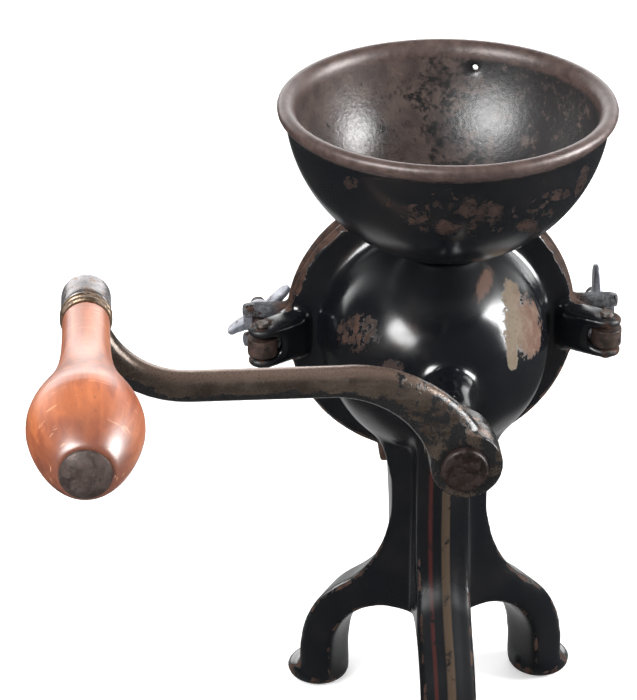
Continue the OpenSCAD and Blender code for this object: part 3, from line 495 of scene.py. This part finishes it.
def rib_line_and_sheen(s, colour):
    """Adds the rubbed red line on the front rib, and beside it a tan band that is a painted reflection of the
    rib's lit side.
    """
    front = s.mul(s.ramp(s.y, *RIB_Y), s.ramp(s.z, *RIB_Z))
    bold = s.ramp(s.noise(5.0, 4.0, 0.6, s.moved((3.0, 60.0, 9.0))), 0.30, 0.44)
    for low, high, paint in RIB_LINE_AND_SHEEN:
        left = s.ramp(s.x, low - LINE_BLUR, low + LINE_BLUR)
        right = s.ramp(s.x, high + LINE_BLUR, high - LINE_BLUR)
        colour = s.mix(s.mul(s.mul(s.mul(left, right), front), bold), colour, paint)
    return colour


def body_enamel():
    s = Surface("body enamel")
    colour, rough, fine = enamel_base(s)
    ears = s.ramp(s.absolute(s.x), *EAR_X)
    nose = s.mul(s.ramp(s.y, *NOSE_Y), s.ramp(s.z, *NOSE_Z))
    masks = {
        "edge": s.mul(s.ramp(around_shaft(s), *BODY_EDGE_R), s.ramp(s.y, *FLANGE_Y)),
        "ears": ears,
        "nose": nose,
        "soles": s.ramp(s.z, *SOLE_Z),
        "arris": s.mul(s.most(*(leg_edge(s, turn) for turn in LEG_TURNS)), s.ramp(s.z, *LEG_Z)),
        "spread": s.ramp(s.noise(30.0, 3.0, 0.5, s.moved((11.0, 5.0, 80.0))), 0.45, 0.75),
    }
    chips = wear(s, amounts(s, masks, BODY_WEAR), 5.5)
    torn = ragged_edge(s)
    calm = s.mul(torn, 0.85)
    flaky = s.ramp(s.noise(3.2, 5.0, 0.65, s.moved((6.0, 2.0, 1.0))), 0.42, 0.52)
    brown = s.most(
        s.patch(*BROWN_SPOT, torn, soft=0.3),
        s.mul(s.patch(*LOW_SPOT, torn, soft=0.3), 0.6),
    )
    amber = s.mul(s.patch(*AMBER_SPOT, torn, lean=0.45, soft=0.35), 0.75)
    chips = s.most(chips, s.mul(brown, flaky))
    colour = s.mix(chips, colour, rust(s))
    colour = s.mix(s.mul(chips, s.mul(nose, 0.7)), colour, NOSE_METAL)
    colour = s.mix(amber, colour, AMBER)
    pale = s.most(*(s.patch(*spot, calm) for spot in PALE_CHIP))
    colour = s.mix(pale, colour, pale_stain(s, torn))
    chips = s.most(chips, pale, amber)
    colour = rib_line_and_sheen(s, colour)
    grime = s.most(
        s.mul(s.ramp(s.z, *NECK_Z), s.ramp(s.y, *NECK_Y)),
        s.mul(s.ramp(s.z, *FRONT_LEG_Z), s.ramp(s.y, *FRONT_LEG_Y)),
    )
    rough = s.blend(s.most(s.mul(ears, 0.8), grime), rough, GRIME_ROUGH)
    rough = s.blend(chips, rough, CHIP_ROUGH)
    return finish_casting(s, colour, rough, s.most(chips, grime), fine)


def cover_enamel():
    s = Surface("cover enamel")
    colour, rough, fine = enamel_base(s)
    lugs = s.ramp(s.absolute(s.x), *LUG_X)
    masks = {
        "edge": s.ramp(around_shaft(s), *COVER_EDGE_R),
        "spout": s.ramp(s.z, *SPOUT_Z),
        "lugs": lugs,
        "spread": s.ramp(s.noise(26.0, 3.0, 0.5, s.moved((90.0, 15.0, 8.0))), 0.42, 0.75),
    }
    chips = wear(s, amounts(s, masks, COVER_WEAR), 6.0, (17.0, 3.0, 9.0))
    colour = s.mix(chips, colour, rust(s))
    grey = s.mix(s.ramp(s.noise(2.4, 5.0, 0.65), 0.4, 0.62), LUG_DARK, LUG_LIGHT)
    colour = s.mix(s.mul(lugs, wear(s, 0.75, 4.0, (5.0, 2.0, 8.0))), colour, grey)
    rough = s.blend(chips, rough, COVER_CHIP_ROUGH)
    return finish_casting(s, colour, rough, chips, fine)


def hopper_enamel():
    s = Surface("hopper enamel")
    colour, rough, fine = enamel_base(s)
    ragged = ragged_edge(s, (5.0, 5.0, 5.0))
    calm = s.mul(ragged, 0.55)
    masks = {
        "middle": s.patch(*BOWL_MIDDLE, calm, soft=0.6),
        "right": s.patch(*BOWL_RIGHT, calm, soft=0.6),
        "spread": s.ramp(s.noise(28.0, 3.0, 0.5, s.moved((5.0, 44.0, 7.0))), 0.45, 0.75),
    }
    chips = wear(s, amounts(s, masks, BOWL_WEAR), 3.6, (2.0, 31.0, 4.0))
    broken = s.ramp(s.noise(2.6, 5.0, 0.66, s.moved((1.0, 9.0, 4.0))), 0.40, 0.52)
    streaks = [s.patch(*spot, calm, lean=lean) for *spot, lean in BOWL_STREAKS]
    flakes = s.most(*streaks, *(s.patch(*spot, ragged) for spot in BOWL_FLAKES))
    shade = s.mix(0.45, rust(s, (9.0, 2.0, 5.0)), BOWL_CHIP_SHADE)
    colour = s.mix(s.mul(chips, 0.8), colour, shade)
    flakes = s.mul(flakes, broken)
    shade = s.mix(0.3, rust(s, (4.0, 8.0, 1.0)), BOWL_FLAKE_SHADE)
    colour = s.mix(s.mul(flakes, 0.62), colour, shade)
    chips = s.most(chips, flakes)
    # Inside: worn brown with black remains, darker towards the right and the front
    reach = s.vector("DISTANCE", s.place, BOWL_CENTRE)
    within = s.mul(s.ramp(reach, *BOWL_INSIDE_R), s.ramp(s.z, *BOWL_INSIDE_Z))
    left = s.ramp(s.x, *BOWL_LEFT_X)
    far = s.ramp(s.y, *BOWL_FAR_Y)
    black = s.noise(6.5, 6.0, 0.68, s.moved((3.0, 3.0, 12.0)), 0.4)
    speck = s.noise(2.0, 5.0, 0.65, s.moved((8.0, 8.0, 8.0)))
    lean = s.mul(s.sub(0.55, s.mul(left, far)), 0.20)
    dark = s.ramp(s.add(s.add(s.mul(black, 0.6), s.mul(speck, 0.45)), lean), 0.50, 0.62)
    tan = s.mix(s.ramp(s.noise(9.0, 4.0, 0.6), 0.35, 0.68), INSIDE_DARK, INSIDE_LIGHT)
    tan = s.mix(s.mul(s.ramp(speck, 0.55, 0.75), 0.5), tan, INSIDE_SPECK)
    colour = s.mix(within, colour, s.mix(dark, tan, INSIDE_BLACK))
    rough = s.blend(chips, rough, CHIP_ROUGH)
    smooth = s.ramp(s.x, *BOWL_MIDDLE_X, *INSIDE_ROUGH)
    rough = s.blend(within, rough, s.add(s.mul(dark, -0.06), s.add(s.mul(speck, 0.22), smooth)))
    # Rim: rubbed to brown metal
    bead = s.ramp(s.add(s.z, s.mul(calm, 1.6)), *BEAD_Z)
    bead = s.mul(bead, s.ramp(s.radius(s.x, s.y), *BEAD_R))
    worn = s.mix(s.ramp(s.noise(4.0, 5.0, 0.66), 0.34, 0.66), RIM_DARK, RIM_LIGHT)
    spots = s.ramp(s.noise(2.4, 4.0, 0.6, s.moved((7.0, 1.0, 9.0))), 0.60, 0.72)
    worn = s.mix(s.mul(spots, 0.7), worn, RIM_SPOT)
    colour = s.mix(bead, colour, worn)
    rough = s.blend(bead, rough, RIM_ROUGH)
    s.set(metallic=s.mul(bead, 0.2))
    chips = s.mul(s.mul(chips, s.sub(1.0, within)), s.sub(1.0, bead))
    dimple = s.mul(within, s.noise(1.9, 3.0, 0.6, s.moved((2.0, 6.0, 1.0))))
    return finish_casting(s, colour, rough, chips, s.add(fine, s.mul(dimple, 11.0)))


def bare_iron():
    """Rubbed iron of the crank: brown-grey and lighter on top as a painted highlight, with black paint
    underneath that is also painted shade, and dark steel at the grip's boss.
    """
    s = Surface("worn crank iron")
    tone = s.noise(9.0, 6.0, 0.62)
    fine = s.noise(0.9, 4.0, 0.6)
    streak = s.noise(2.2, 4.0, 0.6, s.moved(NO_SHIFT, (0.16, 1.0, 1.0)))
    metal = s.mix(s.ramp(tone, 0.36, 0.66), IRON_DARK, IRON_LIGHT)
    metal = s.mix(s.mul(s.ramp(streak, 0.5, 0.7), 0.5), metal, IRON_STREAK)
    # Painted highlight: upward-facing surfaces of the arm turn lighter brown, standing in for light falling
    # on its top
    lit_top_highlight = s.ramp(s.facing((0.0, 0.0, 1.0)), 0.45, 0.95)
    metal = s.mix(s.mul(lit_top_highlight, 0.8), metal, IRON_TOP_HIGHLIGHT)
    masks = {
        # Black paint kept underneath, made heavy there also as painted shade on the arm's underside
        "under": s.ramp(s.facing((0.0, -0.25, -1.0)), -0.35, 0.85),
        "root": s.ramp(s.x, *CRANK_ROOT_X),
    }
    paint = wear(s, amounts(s, masks, CRANK_PAINT_AND_SHADE), 7.0, (1.0, 20.0, 3.0))
    spots = s.ramp(s.noise(1.8, 4.0, 0.6, s.moved((3.0, 9.0, 1.0))), 0.63, 0.70)
    paint = s.most(paint, s.mul(spots, 0.7))
    colour = s.mix(paint, metal, BLACK_PAINT)
    boss = s.ramp(s.radius(s.sub(s.x, GRIP_X), s.sub(s.z, GRIP_Z)), *GRIP_BOSS_R)
    bright = s.mix(s.ramp(tone, 0.4, 0.62), BOSS_DARK, BOSS_LIGHT)
    colour = s.mix(s.mul(boss, s.ramp(s.noise(3.0, 5.0, 0.6), 0.62, 0.5)), colour, bright)
    s.set(base_color=colour, metallic=s.sub(0.6, s.mul(paint, 0.6)))
    s.set(roughness=s.add(s.blend(paint, IRON_ROUGH, PAINT_ROUGH), s.mul(s.sub(fine, 0.5), 0.2)))
    n = s.bump(s.noise(6.0, 3.0, 0.5), 0.35, 0.5)
    n = s.bump(fine, 0.06, 0.6, n)
    s.set(normal=s.bump(paint, 0.1, 0.6, n))
    return s.mat


def steel(name, dark, light, rusty, amount, metallic, rough, thread=None, size=3.2):
    """Plain steel with tarnish and rust; thread gives a stretch along Y and a pitch, for thread grooves."""
    s = Surface(name)
    tone = s.noise(6.0, 5.0, 0.6)
    fine = s.noise(0.7, 3.0, 0.6)
    colour = s.mix(s.ramp(tone, 0.36, 0.66), dark, light)
    bloom = wear(s, amount, size, (31.0, 7.0, 2.0), 0.06)
    brown = s.mix(s.ramp(s.noise(1.6, 4.0, 0.65), 0.4, 0.65), rusty, tuple(1.9 * c for c in rusty))
    colour = s.mix(bloom, colour, brown)
    s.set(base_color=colour, metallic=s.sub(metallic, s.mul(bloom, 0.65)))
    s.set(roughness=s.add(s.blend(bloom, rough, STEEL_RUST_ROUGH), s.mul(s.sub(fine, 0.5), 0.2)))
    n = s.bump(fine, 0.06, 0.7)
    n = s.bump(s.noise(3.0, 3.0, 0.5), 0.2, 0.5, n)
    if thread:
        start, end, pitch = thread
        turn = s.absolute(s.sub(s.math("FRACT", s.mul(s.y, 1.0 / pitch)), 0.5))
        held = s.mul(s.ramp(s.y, start, start + 0.6), s.ramp(s.y, end, end - 0.6))
        n = s.bump(s.mul(turn, held), 0.9, 1.0, n)
    s.set(normal=n)
    return s.mat


def varnished_wood():
    """Turned wood under orange-brown varnish, with long grain, dark flecks and fine scratches."""
    s = Surface("varnished wood")
    axis = (-GRIP_X, 0.0, -GRIP_Z)
    grain = s.noise(3.2, 6.0, 0.62, s.moved(axis, (1.0, 0.09, 1.0)), 0.6)
    pore = s.noise(0.7, 3.0, 0.6, s.moved(axis, (1.0, 0.05, 1.0)))
    cloud = s.noise(26.0, 3.0, 0.5)
    colour = s.mix(s.ramp(grain, 0.34, 0.68), WOOD_DARK, WOOD_LIGHT)
    colour = s.mix(s.mul(s.ramp(cloud, 0.42, 0.7), 0.5), colour, WOOD_CLOUD)
    colour = s.mix(s.mul(s.ramp(pore, 0.60, 0.72), 0.5), colour, WOOD_PORE)
    fleck = s.ramp(s.noise(1.5, 3.0, 0.5, s.moved((7.0, 3.0, 5.0))), 0.70, 0.73)
    colour = s.mix(s.mul(fleck, 0.8), colour, WOOD_FLECK)
    tip = s.ramp(s.add(s.y, s.mul(s.sub(s.noise(7.0, 4.0, 0.6), 0.5), 12.0)), *GRIP_TIP_Y)
    colour = s.mix(s.mul(tip, 0.8), colour, WOOD_TIP)
    colour = s.mix(s.mul(s.ramp(s.y, *GRIP_NECK_Y), 0.45), colour, WOOD_NECK)
    swirl = s.noise(0.55, 2.0, 0.5, s.moved(NO_SHIFT, (0.12, 1.0, 0.5)))
    scratch = s.ramp(s.noise(1.1, 2.0, 0.5, s.moved((3.0, 0.0, 9.0), (0.06, 0.9, 0.25))), 0.66, 0.70)
    colour = s.mix(s.mul(scratch, 0.35), colour, WOOD_SCRATCH)
    s.set(base_color=colour, roughness=s.add(0.30, s.mul(grain, 0.16)), specular_ior_level=0.1)
    s.set(normal=s.bump(grain, 0.12, 0.35, s.bump(swirl, 0.03, 0.4)))
    s.set(coat_weight=1.0, coat_roughness=0.39, coat_ior=2.0)
    return s.mat


def soften(node, voxel, rounds):
    """Gives a piece a fine even mesh and rounds its corners as its mould or wear did."""
    o = cad[node]
    weld = o.modifiers.new("weld", "WELD")
    weld.merge_threshold = 1e-6
    mesh = o.modifiers.new("even mesh", "REMESH")
    mesh.mode = "VOXEL"
    mesh.voxel_size = voxel / MM_IN_M
    mesh.use_smooth_shade = True
    relax = o.modifiers.new("relax", "SMOOTH")
    relax.factor = RELAX
    relax.iterations = rounds
    return o


def cast_fillets():
    """Modifier nodes that smooth a casting a little all over and fully round the neck's root."""
    tree = bpy.data.node_groups.new("cast fillets", "GeometryNodeTree")
    for way in ("INPUT", "OUTPUT"):
        tree.interface.new_socket("Geometry", in_out=way, socket_type="NodeSocketGeometry")
    new = tree.nodes.new
    link = tree.links.new
    spot = new("GeometryNodeInputPosition").outputs[0]
    away = new("ShaderNodeVectorMath")
    away.operation = "DISTANCE"
    link(spot, away.inputs[0])
    away.inputs[1].default_value = [c / MM_IN_M for c in NECK_ROOT]
    near = new("ShaderNodeMapRange")
    near.interpolation_type = "SMOOTHSTEP"
    link(away.outputs["Value"], near.inputs["Value"])
    near.inputs["From Min"].default_value = FILLET_R[0] / MM_IN_M
    near.inputs["From Max"].default_value = FILLET_R[1] / MM_IN_M
    near.inputs["To Min"].default_value = FILLET_LEAST
    blur = new("GeometryNodeBlurAttribute")
    blur.data_type = "FLOAT_VECTOR"
    link(spot, next(i for i in blur.inputs if i.enabled and i.type == "VECTOR"))
    blur.inputs["Iterations"].default_value = FILLET_ROUNDS
    link(near.outputs[0], blur.inputs["Weight"])
    put = new("GeometryNodeSetPosition")
    link(new("NodeGroupInput").outputs[0], put.inputs["Geometry"])
    link(next(i for i in blur.outputs if i.enabled), put.inputs["Position"])
    link(put.outputs[0], new("NodeGroupOutput").inputs[0])
    return tree


def dress(material, *names):
    for name in names:
        data = cad[name].data
        data.materials.clear()
        data.materials.append(material)


dress(body_enamel(), "body_casting")
dress(cover_enamel(), "rear_cover")
dress(hopper_enamel(), "hopper")
dress(bare_iron(), "crank_arm", "thrust_collar")
dress(varnished_wood(), "wooden_grip")
for *look, settings, names in STEELS:
    dress(steel(*look, **settings), *names)

casting = soften("body_casting", BODY_MESH, BODY_ROUNDS)
casting.modifiers.new("cast fillets", "NODES").node_group = cast_fillets()
for node, (voxel, rounds) in ROUNDED.items():
    soften(node, voxel, rounds)

# Floor: white to the camera, with the shadow kept; in reflections bright only under and behind the mill
plane = bpy.data.meshes.new("floor")
corners = [(-FLOOR_HALF, -FLOOR_HALF, 0), (FLOOR_HALF, -FLOOR_HALF, 0)]
corners += [(FLOOR_HALF, FLOOR_HALF, 0), (-FLOOR_HALF, FLOOR_HALF, 0)]
plane.from_pydata(corners, [], [(0, 1, 2, 3)])
floor = bpy.data.objects.new("floor", plane)
bpy.context.scene.collection.objects.link(floor)
paper = Surface("floor paper")
ray = paper.tree.nodes.new("ShaderNodeLightPath").outputs
bright = paper.mul(paper.ramp(paper.y, *BRIGHT_Y), paper.ramp(paper.absolute(paper.x), *BRIGHT_X))
mirrored = paper.blend(bright, *MIRRORED_GLOW)
white = paper.ramp(paper.vector("LENGTH", paper.place), *WHITE_FROM, *WHITE_GLOW)
glow = paper.blend(ray["Is Glossy Ray"], paper.mul(ray["Is Camera Ray"], white), mirrored)
paper.set(base_color=paper.mix(ray["Is Glossy Ray"], FLOOR_GREY, FLOOR_MIRRORED), emission_strength=glow)
paper.set(emission_color=WHITE, roughness=0.9, specular_ior_level=0.0)
plane.materials.append(paper.mat)

# World: white to the camera and soft grey as light; reflections find a dim room with a low white wall behind
world = bpy.data.worlds.new("studio")
bpy.context.scene.world = world
world.use_nodes = True
wt = world.node_tree
wt.nodes.clear()
w_out = wt.nodes.new("ShaderNodeOutputWorld")
w_ray = wt.nodes.new("ShaderNodeLightPath")
w_axes = wt.nodes.new("ShaderNodeSeparateXYZ")
wt.links.new(wt.nodes.new("ShaderNodeTexCoord").outputs["Generated"], w_axes.inputs[0])


def wall_part(axis, low, high):
    """From 0 to 1 as a direction's share along an axis goes from low to high."""
    n = wt.nodes.new("ShaderNodeMapRange")
    n.interpolation_type = "SMOOTHSTEP"
    wt.links.new(w_axes.outputs[axis], n.inputs["Value"])
    n.inputs["From Min"].default_value = low
    n.inputs["From Max"].default_value = high
    return n.outputs[0]


def backdrop(strength):
    b = wt.nodes.new("ShaderNodeBackground")
    if isinstance(strength, bpy.types.NodeSocket):
        wt.links.new(strength, b.inputs["Strength"])
    else:
        b.inputs["Strength"].default_value = strength
    b.inputs["Color"].default_value = (*WHITE, 1.0)
    return b.outputs[0]


def by_ray(kind, others, these):
    m = wt.nodes.new("ShaderNodeMixShader")
    wt.links.new(w_ray.outputs[kind], m.inputs[0])
    wt.links.new(others, m.inputs[1])
    wt.links.new(these, m.inputs[2])
    return m.outputs[0]


w_low = wt.nodes.new("ShaderNodeMath")
w_low.operation = "MULTIPLY"
wt.links.new(wall_part("Y", *WALL_Y), w_low.inputs[0])
wt.links.new(wall_part("Z", *WALL_Z), w_low.inputs[1])
wall = wt.nodes.new("ShaderNodeMath")
wall.operation = "MULTIPLY_ADD"
wt.links.new(w_low.outputs[0], wall.inputs[0])
wall.inputs[1].default_value = WALL_GLOW
wall.inputs[2].default_value = ROOM_GLOW
seen = by_ray("Is Glossy Ray", backdrop(ROOM_LIGHT), backdrop(wall.outputs[0]))
seen = by_ray("Is Transmission Ray", seen, backdrop(1.0))
wt.links.new(by_ray("Is Camera Ray", seen, backdrop(1.0)), w_out.inputs["Surface"])


def softbox(name, turn, lift, away, width, height, power):
    """A soft rectangular lamp: turn from the front towards the right, lift above the floor, in degrees."""
    lamp = bpy.data.lights.new(name, "AREA")
    lamp.shape = "RECTANGLE"
    lamp.size = width
    lamp.size_y = height
    lamp.energy = power
    o = bpy.data.objects.new(name, lamp)
    bpy.context.scene.collection.objects.link(o)
    a = math.radians(turn)
    e = math.radians(lift)
    back = Vector((math.sin(a) * math.cos(e), -math.cos(a) * math.cos(e), math.sin(e)))
    o.location = LAMP_AIM + back * away
    o.rotation_mode = "QUATERNION"
    o.rotation_quaternion = (-back).to_track_quat("-Z", "Y")
    return o


lamps = {name: softbox(name, *setting) for name, setting in LAMPS.items()}
lamps["top softbox"].visible_glossy = False

camera = bpy.data.cameras.new("camera")
camera.sensor_width = SENSOR
camera.lens = FOCAL * SENSOR / PICTURE_HEIGHT
camera.clip_start = 0.05
camera.clip_end = 60.0
shot = bpy.data.objects.new("camera", camera)
bpy.context.scene.collection.objects.link(shot)
shot.location = EYE / MM_IN_M
shot.rotation_mode = "QUATERNION"
shot.rotation_quaternion = LOOK.to_track_quat("-Z", "Y")
bpy.context.scene.camera = shot
bpy.context.scene.view_settings.view_transform = "Standard"
